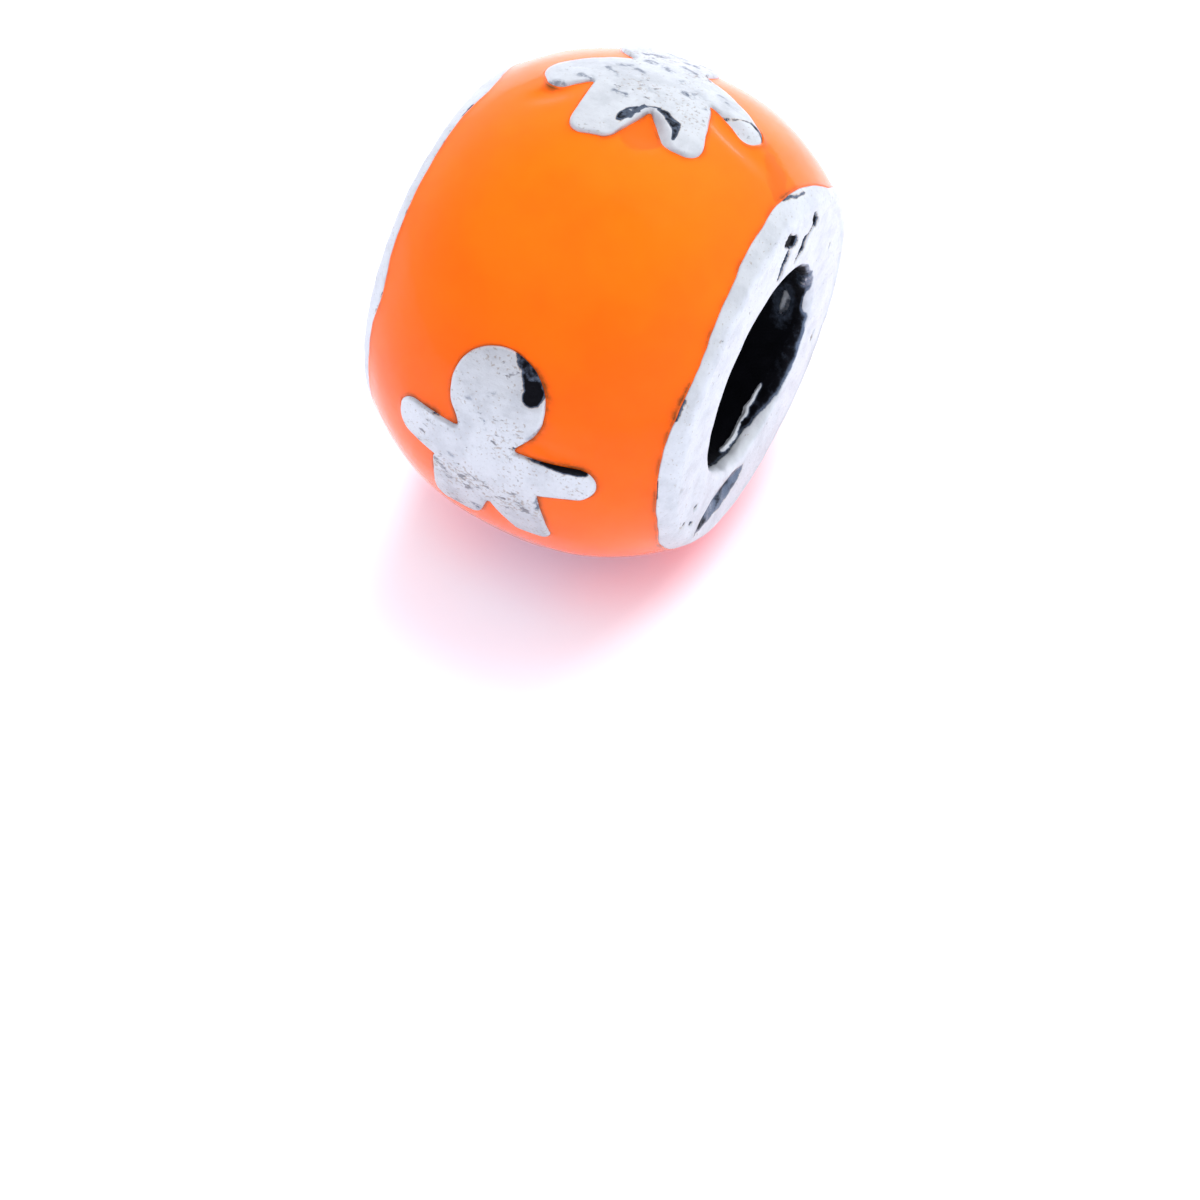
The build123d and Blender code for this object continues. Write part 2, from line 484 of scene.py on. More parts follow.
def between(tree, value, low, high, toLow=0.0, toHigh=1.0):  # eases from one value to another
    given = {0: value, 1: low, 2: high, 3: toLow, 4: toHigh}
    return put(tree, "ShaderNodeMapRange", given, interpolation_type="SMOOTHSTEP").outputs[0]


def mixed(tree, share, *colours):
    a, b = ((*colour, 1.0) if isinstance(colour, tuple) else colour for colour in colours)
    return put(tree, "ShaderNodeMix", {"Factor": share, 6: a, 7: b}, data_type="RGBA").outputs[2]


def bumped(tree, look, height):
    given = {"Strength": look["bump"], "Distance": look["bumpDepth"] * mm, "Height": height}
    return put(tree, "ShaderNodeBump", given).outputs[0]


def newFinish(name, grains):
    material = bpy.data.materials.new(name)
    material.use_nodes = True
    tree = material.node_tree
    tree.nodes.clear()
    shader = put(tree, "ShaderNodeBsdfPrincipled")
    put(tree, "ShaderNodeOutputMaterial", {"Surface": shader.outputs[0]})
    where = put(tree, "ShaderNodeTexCoord").outputs["Object"]
    return material, tree, shader, where, {key: grain(tree, where, *how) for key, how in grains.items()}


# a grain in these dictionaries has its features per millimetre, detail, roughness, how warped it is, stretch and turn
silverLook = {
    "metal": (0.495, 0.53, 0.56), "dull": (0.42, 0.45, 0.48), "stain": (0.16, 0.165, 0.18),
    "slate": (0.088, 0.115, 0.162), "speck": (0.27, 0.22, 0.17), "oxide": (0.006, 0.0065, 0.009),
    "gold": (0.40, 0.25, 0.09), "metallic": 0.72, "specular": 0.2, "roughness": (0.36, 0.50),
    # tarnish from and at which the metal is brown, dark and black, and how ragged these are
    "brown": (-0.05, 0.0), "dark": (-0.02, 0.025), "black": (0.03, 0.09), "raggedEdge": 0.06,
    "grains": {
        "rags": (5.0, 5.0, 0.6), "haze": (1.6, 4.0, 0.6), "fine": (14.0, 4.0, 0.6),
        "pits": (6.0, 3.0, 0.55, 0.4, (0.8, 1.3, 1.3), (0.5, 0.3, 0.9)),
        "dots": (13.0, 2.0, 0.5, 0.0, (1.0, 1.15, 1.15), (0.9, 0.2, 0.4)),
        "clouds": (9.0, 3.0, 0.6, 0.0, (0.7, 1.2, 1.2), (0.5, 0.3, 0.9)),
        "scratches": (4.0, 3.0, 0.7, 0.0, (0.6, 9.0, 9.0), (0.4, 0.2, 0.7)),
    },
    # where pits and dots start in their grain on clean metal, how much sooner on speckled metal, and their edge
    "pitLine": (0.76, 0.17, -0.03, 0.10), "dotLine": (0.72, 0.15, -0.04, 0.09), "pitShare": 0.85, "dotShare": 0.6,
    "bump": 0.5, "bumpDepth": 0.03,
}


def silverFinish():
    look = silverLook
    material, tree, shader, _, grains = newFinish("antiqueSilver", look["grains"])
    tarnish, speckle, smudge = (painted(tree, mark) for mark in ("tarnish", "speckle", "smudge"))

    def spots(name, start, sooner, low, high):
        line = plus(tree, start, (speckle, -sooner))
        return between(tree, calc(tree, "SUBTRACT", grains[name], line), low, high)

    rags = calc(tree, "SUBTRACT", grains["rags"], 0.5)
    ragged = between(tree, speckle, 0.05, 0.25, look["raggedEdge"] * 1.6, look["raggedEdge"] * 4)
    edge = plus(tree, tarnish, (rags, ragged))
    brown, dark, black = (between(tree, edge, *look[tone]) for tone in ("brown", "dark", "black"))
    pits, dots = spots("pits", *look["pitLine"]), spots("dots", *look["dotLine"])
    clouds = between(tree, grains["clouds"], 0.40, 0.56, 0.05, 1.0)
    colour = mixed(tree, between(tree, grains["haze"], 0.40, 0.70), look["metal"], look["dull"])
    for share, amount, tone in (
        (dots, look["dotShare"], "speck"), (pits, look["pitShare"], "stain"), (smudge, clouds, "slate"),
        (brown, between(tree, speckle, 0.05, 0.2, 0.0, 0.4), "gold"),
    ):
        colour = mixed(tree, calc(tree, "MULTIPLY", share, amount), colour, look[tone])
    colour = mixed(tree, dark, colour, mixed(tree, black, look["slate"], look["oxide"]))
    height = calc(tree, "MULTIPLY", grains["fine"], 0.5)
    height = plus(tree, height, (grains["scratches"], 0.25), (pits, -0.7), (dark, -0.35))
    rough = between(tree, grains["fine"], 0.3, 0.7, *look["roughness"])
    feed(tree, shader, {
        "Base Color": colour, "Roughness": plus(tree, rough, (dark, -0.12), (black, 0.35)),
        "Metallic": plus(tree, look["metallic"], (dark, 0.2)), "Specular IOR Level": look["specular"],
        "Normal": bumped(tree, look, height),
    })
    return material


enamelLook = {
    "glaze": (0.83, 0.107, 0.001), "deep": (0.81, 0.100, 0.001), "pale": (0.84, 0.115, 0.001),
    # pool: painted shade in the enamel's hollows
    # rim: partly dirt at the joint, partly painted shade where the enamel curves down to the metal
    "rim": (0.08, 0.030, 0.004), "poolShade": (0.55, 0.080, 0.0),
    "roughness": 0.4, "coatRoughness": 0.06, "coatIOR": 1.24,
    "grains": {
        "clouds": (0.45, 3.0, 0.6), "blotches": (3.5, 4.0, 0.6), "patches": (2.5, 4.0, 0.65),
        "peel": (1.1, 3.0, 0.5), "finePeel": (7.0, 2.0, 0.5),
    },
    "bump": 0.30, "bumpDepth": 0.04,
}


def enamelFinish():
    look = enamelLook
    material, tree, shader, _, grains = newFinish("orangeEnamel", look["grains"])
    clouds = between(tree, grains["clouds"], 0.35, 0.65)
    blotches = between(tree, grains["blotches"], 0.3, 0.7, 0.0, 0.35)
    patches = between(tree, grains["patches"], 0.35, 0.6, 0.35, 1.0)
    # the rim colour at the brinks: partly dirt, partly painted shade beside the metal
    grimeAndShade = calc(tree, "MULTIPLY", painted(tree, "brink"), patches)
    colour = mixed(tree, clouds, look["deep"], look["pale"])
    # the pool colour is painted shade in the enamel's hollows
    for share, tone in ((blotches, "glaze"), (painted(tree, "poolShade"), "poolShade"), (grimeAndShade, "rim")):
        colour = mixed(tree, share, colour, look[tone])
    peel = bumped(tree, look, plus(tree, grains["peel"], (grains["finePeel"], 0.06)))
    feed(tree, shader, {
        "Base Color": colour, "Roughness": look["roughness"], "Specular IOR Level": 0.0, "Coat Weight": 1.0,
        "Coat Roughness": look["coatRoughness"], "Coat IOR": look["coatIOR"], "Normal": peel, "Coat Normal": peel,
    })
    return material


# silver body
casting = {
    "dent": [(-0.68, -2.68), (-1.08, -2.4), (-1.55, -2.2), (-2.09, -2.06), (-2.62, -2.1), (-3.12, -2.34),
             (-2.74, -2.56), (-2.03, -2.85), (-1.51, -2.97), (-1.08, -2.95), (-0.72, -2.86)],
    "dentDepth": 0.15, "pitDepth": 0.12, "rimRound": {1: 0.40, -1: 0.52}, "mouthRadial": 0.2, "mouthAxial": 0.3,
    "faceCrown": 0.02, "faceReach": 0.12, "lumps": 0.006, "boreLumps": 0.016,
    # tarnish and speckle of the plain metal
    "onStrip": (-0.35, 0.36), "onRim": (-0.35, 0.42), "onMouth": (-0.3, 0.04),
    # inner points of the recess's floor: half width, half length, spacing, and distance kept from the figures
    "floorGrid": (3.2, 17.0, 0.5, 0.12),
}

# stains on the figures in their own plane: a closed patch, or a line with its half width, and how black it gets. Up to
# 0.03 it is only a soft smudge, and 9 is as black as can be
marks = [
    [([(0.04, -1.33), (0.18, -1.34), (0.34, -1.4), (0.51, -1.53), (0.68, -1.6), (0.72, -1.79), (0.71, -1.97),
       (0.69, -2.14), (0.61, -2.08), (0.57, -1.86), (0.41, -1.69), (0.24, -1.52), (0.11, -1.45)], None, 0.065),
     ([(-0.54, -2.0), (-0.57, -1.8), (-0.48, -1.65), (-0.35, -1.65), (-0.26, -1.5), (-0.13, -1.34), (0.04, -1.33),
       (-0.12, -1.47), (-0.26, -1.68), (-0.32, -1.84), (-0.43, -1.92), (-0.52, -2.08)], None, 0.042),
     ([(-0.58, -1.98), (-0.57, -1.8), (-0.48, -1.63), (-0.26, -1.49), (-0.13, -1.34), (0.1, -1.33)], 0.035, 0.07),
     ([(-0.46, -1.9), (-0.4, -1.78), (-0.22, -1.62)], 0.03, 0.05),
     ([(1.3, -0.74), (1.66, -0.6), (1.96, -0.43), (2.16, -0.44)], 0.02, 0.05),
     ([(2.0, -0.41), (2.2, -0.44), (2.4, -0.6)], 0.05, 0.07), ([(2.42, -0.5), (2.42, -0.95)], 0.05, 9),
     ([(-2.4, -0.95), (-1.9, -1.1)], 0.05, 0.0), ([(1.08, -1.36), (1.12, -1.24)], 0.03, 0.03),
     ([(-0.91, -1.18), (-0.57, -1.23)], 0.05, 0.03), ([(0.44, -0.57), (0.63, -0.6)], 0.07, 0.03),
     ([(0.45, -0.12), (0.62, -0.3)], 0.09, 0.02), ([(-0.72, -0.14), (-0.5, -0.22)], 0.08, 0.01),
     ([(-1.26, -0.32), (-0.98, -0.48)], 0.09, 0.0), ([(-0.55, 0.46), (-0.39, 0.46)], 0.1, 0.01),
     ([(-1.71, -0.74), (-1.5, -0.81)], 0.09, 0.0), ([(-0.17, 0.32), (0.03, 0.2)], 0.08, 0.01),
     ([(1.03, -0.83), (1.2, -0.7)], 0.05, 0.01), ([(-1.1, -0.1), (-0.85, -0.02)], 0.08, 0.0),
     ([(-0.4, -0.75), (-0.15, -0.85)], 0.05, -0.02), ([(0.1, -0.2), (0.3, -0.05)], 0.07, -0.01),
     ([(0.2, 0.75), (0.5, 0.6)], 0.1, 0.01), ([(-0.7, 0.95), (-0.3, 1.05)], 0.1, 0.01),
     ([(0.15, 1.2), (0.45, 1.25)], 0.12, 0.01), ([(1.1, -0.05), (1.35, -0.2)], 0.05, 0.0),
     ([(-0.25, 1.65), (0.1, 1.6)], 0.12, 0.01)],
    [([(0.1, 2.74), (0.25, 2.42), (0.41, 2.27), (0.52, 2.1), (0.55, 1.9), (0.57, 1.73), (0.67, 1.66), (0.8, 1.66),
       (0.93, 1.72), (1.0, 1.84), (1.06, 2.02), (1.2, 2.3), (0.9, 2.8)], None, 0.068),
     ([(0.48, 2.2), (0.54, 1.96), (0.55, 1.8), (0.58, 1.71), (0.67, 1.66), (0.8, 1.66), (0.91, 1.71), (0.98, 1.8),
       (1.01, 1.92), (1.0, 2.04), (0.8, 2.24)], None, 9),
     ([(1.15, 0.38), (1.4, 0.335), (1.66, 0.29), (1.91, 0.265), (2.11, 0.29), (2.22, 0.36), (2.15, 0.8),
       (1.15, 0.8)], None, 9), ([(0.58, 0.6), (0.88, 0.47), (1.2, 0.4)], 0.035, 9),
     ([(1.12, -0.72), (1.18, -1.02)], 0.07, 0.025), ([(0.02, -1.48), (0.22, -1.82)], 0.03, 0.02),
     ([(-0.46, -1.75), (-0.25, -1.72), (-0.22, -1.98), (-0.38, -2.04)], None, 0.03),
     ([(-1.35, 0.55), (-0.8, 0.6)], 0.035, 9), ([(-2.2, 0.52), (-1.4, 0.55)], 0.03, -0.01),
     ([(0.84, 0.92), (1.04, 1.25)], 0.045, -0.01), ([(-1.42, -0.85), (-1.47, -1.25)], 0.05, 0.02),
     ([(-0.18, 0.95), (-0.07, 0.82)], 0.04, 0.02), ([(-0.62, 1.32), (-0.51, 1.36)], 0.07, -0.012),
     ([(-0.14, 1.6), (-0.04, 1.66)], 0.06, -0.014), ([(-0.91, -0.34), (-0.82, -0.36)], 0.05, 0.0),
     ([(-1.13, -0.91), (-1.0, -1.0)], 0.05, 0.01)],
    [([(-1.2, 1.2), (-0.8, 0.7), (-0.9, 1.6)], None, 9), ([(0.2, -1.45), (0.5, -2.2)], 0.05, 9),
     ([(-2.0, -0.6), (-1.5, -1.1)], 0.06, 9)],
    [([(0.9, 0.5), (1.9, 0.45)], 0.07, 9), ([(-0.7, 2.3), (-0.2, 2.6), (-0.9, 2.7)], None, 9),
     ([(-1.3, -0.7), (-1.35, -1.6)], 0.05, 9)],
]

# stains on the bare rims: which end, a line of points (place along the bore, angle) and its half width
rimMarks = [
    (1, [(3.42, -17.5), (3.47, -20.5), (3.53, -23.0), (3.57, -25.6), (3.6, -29)], 0.04),
    (1, [(3.56, 49.5), (3.53, 55.5)], 0.055), (1, [(3.5, 76), (3.52, 84)], 0.02),
    (-1, [(-3.42, -4), (-3.48, 0.5)], 0.03), (-1, [(-3.47, 8.4), (-3.5, 10.4)], 0.022),
    (-1, [(-3.52, 32), (-3.5, 33.5)], 0.025), (-1, [(-3.4, 55.4), (-3.41, 57)], 0.02),
    (-1, [(-3.46, 61), (-3.54, 64)], 0.02),
]

# pits in the face with the dent: a line of points and its half width
facePits = [
    ([(0.86, 3.64), (1.0, 3.44), (1.16, 3.22)], 0.155), ([(0.97, 3.36), (0.86, 3.18)], 0.06),
    ([(0.84, 3.16), (0.73, 3.04), (0.64, 2.94)], 0.17), ([(0.62, 2.92), (0.48, 2.78)], 0.11),
    ([(2.16, 3.0), (2.3, 2.7)], 0.11), ([(2.2, 2.95), (2.08, 2.78), (1.82, 2.69)], 0.06),
    ([(1.82, 2.69), (1.67, 2.64)], 0.08), ([(1.69, 2.68), (1.57, 2.52)], 0.18), ([(1.55, 2.5), (1.36, 2.42)], 0.1),
    ([(-3.83, 0.4), (-3.72, 0.28)], 0.035), ([(-3.1, -1.22), (-3.0, -1.34)], 0.045),
    ([(-3.6, -1.22), (-3.52, -1.3)], 0.04), ([(-3.76, -1.12), (-3.7, -1.2)], 0.035),
    ([(-3.3, -1.62), (-3.2, -1.74)], 0.04), ([(-0.9, 3.2), (-0.85, 3.12)], 0.02), ([(2.6, -1.9), (2.75, -1.7)], 0.05),
    ([(3.1, 0.9), (3.15, 1.0)], 0.03),
]

# the bore at the end with the dent, its depths from the face. A spot has its depth and spread, and angle and spread
boreLook = {
    "mouth": (0.21, 0.15),  # the blackening starts and is whole where the mouth is this much wider than the bore
    "black": {"depth": 0.02, "later": 0.32, "angle": 158, "spread": 42},  # black from here on, later round this angle
    "grey": {"depth": 0.36, "angle": -155, "spread": 45},  # not fully black before this depth round this angle
    "ridge": {"depth": 0.47, "width": 0.045, "height": 0.05, "bend": 0.06, "angle": -178, "fade": (29, 20)},
    "patch": (0.06, 0.13, -97, 7),  # worn bright, as the ridge is
    # painted reflections: soft lighter sheens laid into the black
    "paintedSheens": [(0.62, 0.2, -103, 11), (0.22, 0.12, -78, 7)],
}

# where a figure's edge slopes down into low enamel: figure, place in its plane, reach, added width and depth
chamfers = [
    (0, 0.38, -1.95, 0.42, 0.15, 0.05), (0, -0.15, -1.75, 0.48, 0.03, 0.06), (0, 1.85, -0.90, 0.52, 0.26, 0.05),
    (0, -2.15, -1.15, 0.35, 0.03, 0.04), (2, 0.0, 2.3, 1.1, 1.1, 0.0),
]


def chamferAt(u, v, which):  # added width and depth of the edge
    width, depth = 0 * u, 0 * u
    for place, cu, cv, reach, wide, deep in chamfers:
        if place == which:
            share = np.exp(-(((u - cu) ** 2 + (v - cv) ** 2) / reach ** 2) ** 2)
            width, depth = width + wide * share, depth + deep * share
    return width, depth


def markField(u, v, which, place):
    field, smudge = np.full(u.shape, -1.0), 0 * u
    wander = [0.022 * waves(place, 0.3, seed) for seed in (35, 36)]
    for path, half, most in marks[which]:
        at = (u, v) if most > 0.03 else (u + wander[0], v + wander[1])
        stain = -polygonDistance(*at, path) if half is None else half - pathDistance(*at, path)
        if most > 0.03:
            field = np.maximum(field, np.minimum(stain * 2.5, most))
        else:
            smudge = np.maximum(smudge, (0.7 + 10 * most) * ease(-0.03, 0.06, stain))
    return field, smudge


def figureTop(which):  # a patch of the silver body
    near, line = figureLines[which]
    f = figure
    rings = ringsBeside(near, line, 0.0, [-row for row in f["rows"]], f["step"])
    inner = latticed(line.min(0), line.max(0), f["finest"])
    inner = inner[near(*inner.T) < -f["inside"]]
    flat, tris = fillFlat([line], thinned(np.vstack([rings, inner]), f["closest"]))
    x, s = flat.T
    inside = -near(x, s)
    u, v, _ = figurePlane(x, s, which)
    place = onBarrel(x, s)
    width, depth = chamferAt(u, v, which)
    bevel = f["bevel"] * (1 + 0.2 * waves(place, 0.9, 31)) + width
    t = np.clip(inside / bevel, 0, 1)
    rise = np.sqrt(np.clip(1 - (1 - t) ** 2, 0, 1))
    rise += (ease(0, 1, t) * 0.6 + t * 0.4 - rise) * np.clip(width / 0.15, 0, 1)
    height = -f["sink"] - depth + (f["proud"] + f["sink"] + depth) * rise
    uneven = f["lumps"] * waves(place, 0.55, 32) + f["fineLumps"] * waves(place, 0.2, 33)
    height += ease(0.0, 0.2, inside) * uneven
    field, smudge = markField(u, v, which, place)
    height -= f["stainDepth"] * ease(-0.15, 0.1, field) * ease(0, 0.05, inside)
    least, more, start, end = figures[which].get("specks", f["specks"])
    speckle = least + more * ease(start, end, v) + 0.2 * waves(place, 1.2, 34)
    return flat, tris, height, field, speckle, smudge


def figureWall(which):  # from the foot of a figure's edge down to the floor of the recess
    line = figureLines[which][1]
    n = len(line)
    u, v, _ = figurePlane(*line.T, which)
    top = -figure["sink"] - chamferAt(u, v, which)[1]
    drop = np.concatenate([top, 0.7 * top - 0.1, 0.4 * top - 0.25, 0 * top - barrel["recess"]])
    ring = [(j, (j + 1) % n) for j in range(n)]
    quads = [(i * n + b, i * n + a, i * n + n + a, i * n + n + b) for i in range(3) for a, b in ring]
    return np.vstack([line] * 4), quads, drop, -0.2, 0.1, 0.0


def faceHollows(y, z):  # how far inside the dent, and inside a pit
    rough = np.stack([y, z, 0 * y], -1)
    inDent = -polygonDistance(y, z, casting["dent"]) + 0.012 * waves(rough, 0.3, 46)
    inPit, wander = np.full(y.shape, -1.0), 0.018 * waves(rough, 0.35, 45)
    for path, half in facePits:
        inPit = np.maximum(inPit, (half - pathDistance(y, z, path) + wander) * 2.5)
    return inDent, inPit


def silverRings():
    # from the recess at the right end over the rim and the face, through the bore and back to the recess at the left.
    # Each has its x, radius, tarnish, speckle, share of the lumps, and place in space
    s = roundBarrel()
    half, bore, crown = barrel["halfLength"], barrel["boreRadius"], casting["faceCrown"]
    rise, run = casting["mouthRadial"], casting["mouthAxial"]
    # the bare strip: share of the way from the enamel to the rounded rim, and height
    bank = [(0, -barrel["recess"]), (0, -0.03), (0.06, -0.005), (0.18, 0.004), (0.45, 0.003), (1, 0.0)]
    rings = []

    def ring(x, r, tarnish=-1.0, speckle=0.0, lump=1.0):
        x, r = x + 0 * s, r + 0 * s
        rings.append((x, r, tarnish, speckle, lump, atRadius(x, s, r)))

    def rimArc(rim):  # middle of the rounded rim, and the angle at which it leaves the barrel, found step by step
        lean = 0.8
        for _ in range(5):
            x = half - rim + rim * cos(lean)
            lean = float(np.arctan2(0.002, barrelRadius(x - 0.001) - barrelRadius(x + 0.001)))
        return half - rim, float(barrelRadius(x)) - rim * sin(lean), lean

    def end(side, rimRows, faceRows, mouthRows):
        edge, rim = borderAt(s, side), casting["rimRound"][side]
        middle, out, lean = rimArc(rim)
        for share, h in bank:
            x = edge + (middle + rim * cos(lean) - edge) * share
            lump = 0.0 if h == -barrel["recess"] else 1.0  # plain where it meets the floor of the recess
            ring(side * x, barrelRadius(x) + h, *casting["onStrip"], lump)
        for phi in np.linspace(lean, 0, rimRows + 1)[1:]:
            ring(side * (middle + rim * cos(phi)), out + rim * sin(phi), *casting["onRim"])
        for share in np.linspace(0, 1, faceRows + 1)[1:]:
            x, r = half - crown * (2 * share - 1) ** 2, out + (bore + rise - out) * share
            ring(side * x, r, *casting["onRim"])
        for phi in np.linspace(0, pi / 2, mouthRows + 1)[1:]:
            x, r = half - crown - run * (1 - cos(phi)), bore + rise * (1 - sin(phi))
            ring(side * x, r, *casting["onMouth"])

    end(1, 7, 27, 8)
    start, dense, sparse = half - crown - run, 0.45, 2.4  # rings stand closest near the seen mouth
    for x in (*(start - np.linspace(0, dense, 18)[1:]), *(start - np.linspace(dense, sparse, 16)[1:]),
              *np.linspace(start - sparse, -start, 14)[1:-1]):
        ring(x, bore)
    back = len(rings)
    end(-1, 6, 14, 6)
    rings[back:] = rings[back:][::-1]
    return rings


def boreSpot(depth, angle, spot):
    middle, deep, centre, wide = spot
    return np.exp(-(((depth - middle) / deep) ** 2) - (turnFrom(angle, centre) / wide) ** 2)


def boreTarnish(place, x, r, depth, angle):  # where the bore is, its tarnish and the worn ridge
    black, grey, ridge = boreLook["black"], boreLook["grey"], boreLook["ridge"]
    outer, inner = (barrel["boreRadius"] + wider for wider in boreLook["mouth"])
    bored, seen = ease(outer, inner, r), (x > 0) & (r < inner)
    late = np.exp(-((turnFrom(angle, black["angle"]) / black["spread"]) ** 4))
    blackFrom = black["depth"] + black["later"] * late + 0.012 * waves(place, 0.5, 47)
    greyed = hump(turnFrom(angle, grey["angle"]), grey["spread"])
    limit = 0.085 + 0.5 * ease(0.1, 0.3, depth - grey["depth"] * greyed)
    dim = np.minimum((depth - blackFrom) * bored - 0.4 * (1 - bored), limit)
    along = turnFrom(angle, ridge["angle"])
    ridgeAt = ridge["depth"] + ridge["bend"] * ease(-10, 12, along) + 0.012 * waves(place, 0.4, 44)
    raised = hump(depth - ridgeAt, ridge["width"]) * ease(*ridge["fade"], np.abs(along)) * seen
    worn = raised * (1.1 + 0.25 * waves(place, 0.14, 49)) + boreSpot(depth, angle, boreLook["patch"]) * seen
    dim = dim - (dim + 0.3) * np.clip(worn, 0, 1)
    # painted reflection: a soft lighter sheen mixed into the black
    shine = 0.02 * waves(place * (1.6, 0.6, 0.6), 0.3, 50) - 0.005
    paintedSheen = sum(boreSpot(depth, angle, spot) for spot in boreLook["paintedSheens"])
    share = np.clip(1.4 * paintedSheen, 0, 1) * (x > 0) * (dim > 0.045)
    dim = np.where(share > 0.02, np.minimum(dim, 0.10), dim)
    dim = dim + (shine - dim) * share
    return bored > 0, dim, ridge["height"] * raised


def silverSheet():  # rims, faces and bore as one patch
    s, half = roundBarrel(), barrel["halfLength"]
    angle = -np.degrees(s / barrel["radius"])
    rings, rows = silverRings(), []
    for x, r, dark, spots, lump, place in rings:
        # softly uneven cast surface, more so in the bore
        inBore = r < barrel["boreRadius"] + boreLook["mouth"][1]
        size = np.where(inBore, casting["boreLumps"], casting["lumps"])
        fine = np.where(inBore, 0.3, 0.08)
        uneven = waves(place, 1.3, 41) * 0.6 + waves(place, 0.6, 42) * 0.4 + waves(place, 0.3, 43) * fine
        push = lump * size * uneven
        isFace = (np.abs(x) > half - casting["faceReach"]) & ~inBore  # pushed along the bore, and all else outwards
        # tarnish is the darkest of what lies at a place
        depth = half - np.abs(x)
        bored, dim, ridge = boreTarnish(place, x, r, depth, angle)
        dark = np.where(bored, np.maximum(dark, dim), dark)
        for side, path, wide in rimMarks:
            away = pathDistance(x, s, [onStrip(*corner) for corner in path])
            dark = np.maximum(dark, np.where((x * side > 0) & ~inBore, np.minimum((wide - away) * 3, 0.06), -1))
        # dent and pits, only in the seen face
        inDent, inPit = faceHollows(place[:, 1], place[:, 2])
        onFace = ease(0.25, 0.1, depth) * (x > 0)
        shade = 0.026 + 0.05 * ease(-0.3, 1.4, waves(place * (1, 0.5, 1.6), 0.35, 48))
        hollow = np.maximum(np.minimum(inDent * 2, shade), inPit)
        dark = np.maximum(dark, np.where(onFace > 0.5, hollow, -1))
        spots = np.where((onFace > 0.5) & (inDent > 0), 0.05, spots)
        x = x - np.sign(x) * np.where(isFace, push, 0) - casting["dentDepth"] * ease(-0.04, 0.42, inDent) * onFace
        x = x - casting["pitDepth"] * ease(-0.05, 0.15, inPit) * onFace
        r = r + np.where(isFace, 0, push * np.where(inBore, 1, 0.6)) - ridge
        rows.append(np.stack([x, s, r - barrelRadius(x), dark, spots], 1))
    table = np.vstack(rows)
    return table[:, :2], grid(len(rings), len(s)), *table[:, 2:].T, 0.0


def recessFloor():  # between the figures
    wide, high, gap, clear = casting["floorGrid"]
    inner = latticed((-wide, -high), (wide, high), gap)
    inner = inner[figuresDistance(*inner.T) > clear]
    flat, tris = fillFlat([bandLoop(0.0)] + [line for _, line in figureLines], inner)
    return flat, tris, -barrel["recess"], -1.0, 0.0, 0.0


def silverBody():
    patches = [silverSheet(), recessFloor()]
    for which in range(len(figures)):
        patches += [figureTop(which), figureWall(which)]
    return rolledPiece("silverBody", silverFinish(), ("tarnish", "speckle", "smudge"), patches)


silver = silverBody()
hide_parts("silver_body")


# enamel band
glaze = {
    "under": 0.47, "tuck": 0.012, "climb": 0.018, "climbReach": 0.07, "waviness": 0.004,
    # rows of points beside figures and borders, the least distance kept from these, and between any two points
    "figureRows": (0.02, 0.045, 0.08, 0.125, 0.18, 0.25, 0.34), "borderRows": (0.02, 0.05, 0.09, 0.15, 0.22),
    "rowsClear": 0.012, "closest": 0.014,
    # inner points above and below: half width, half length, spacing, and distance kept from figures and borders
    "topGrid": (3.7, 17.3, 0.115, 0.3), "underGrid": (3.3, 17.2, 0.45, 0.2),
    # hollows: figure, place in its plane, radii along and across, turn, depth
    "hollows": [(0, 0.1, -1.95, 0.5, 0.5, 0, 0.1), (0, 1.85, -1.12, 0.75, 0.3, -18, 0.08),
                (0, -2.15, -1.35, 0.4, 0.25, 12, 0.06), (1, 1.45, 0.72, 0.5, 0.16, -8, 0.03),
                (1, 1.05, 0.95, 0.25, 0.35, -30, 0.03)],
    # painted shade in its hollows, a deeper colour: outline (place along the bore, angle) and how soft the outline is
    "poolShades": [([(0.03, -3.8), (0.23, -1.8), (0.46, -0.9), (0.65, -1.4), (0.81, -2.7), (0.95, -4.5), (0.98, -6.3),
                (0.7, -16), (0.1, -14)], 0.05),
              ([(2.62, -25.6), (2.78, -27), (2.93, -25.7), (3.2, -25.7), (3.32, -21.8), (3.5, -18), (3.5, -14.5),
                (3.3, -14.5), (3.06, -17), (2.91, -20), (2.69, -22.2)], 0.04),
              ([(-2.1, -11.5), (-1.75, -11.5), (-1.75, -9.3), (-2.1, -9.0)], 0.05)],
    # where dirt and painted shade gather beside the metal: place along the bore, angle, reach and how much more of it
    "grimeAndShade": [(1.07, 58.5, 0.75, 1.3), (0.93, 67.4, 0.35, 1.3), (1.97, 73.6, 0.55, 1.3), (-1.3, 72.9, 0.6, 1.2),
              (-1.87, -9.9, 0.3, 1.6), (2.55, -26.9, 0.3, 1.2), (3.52, 53, 0.8, 1.5), (3.41, -17, 0.4, 0.6),
              (-0.2, 99, 0.5, 0.6), (1.3, 90, 0.4, 0.5)],
}


